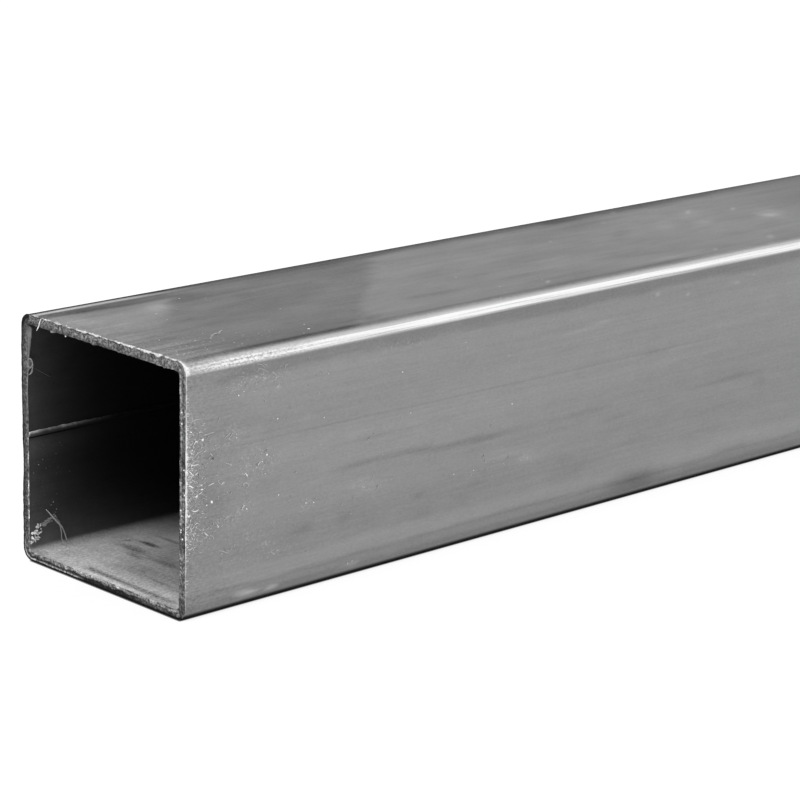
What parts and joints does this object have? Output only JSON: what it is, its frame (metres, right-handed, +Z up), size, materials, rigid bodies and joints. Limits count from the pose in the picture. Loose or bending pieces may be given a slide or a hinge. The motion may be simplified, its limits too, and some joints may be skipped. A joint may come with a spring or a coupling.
{
  "type": "square steel tube",
  "caption": "Length of bare welded square steel tube, open at both sawn ends, with rolled corners and a low weld bead inside one wall.",
  "frame": {"origin": "middle of the underside, halfway along the tube, on the floor that it lies on", "axes": "+X along the tube, +Z up; the side walls face -Y and +Y, and the weld bead is inside the +Y wall"},
  "size_m": [1, 0.04, 0.04],
  "materials": {
    "steel": "bare mill-finish steel, satin, with fine lengthwise roll lines, small scratches and a burred saw cut"
  },
  "bodies": {
    "root": {"square_tube": "steel"}
  },
  "joints": []
}
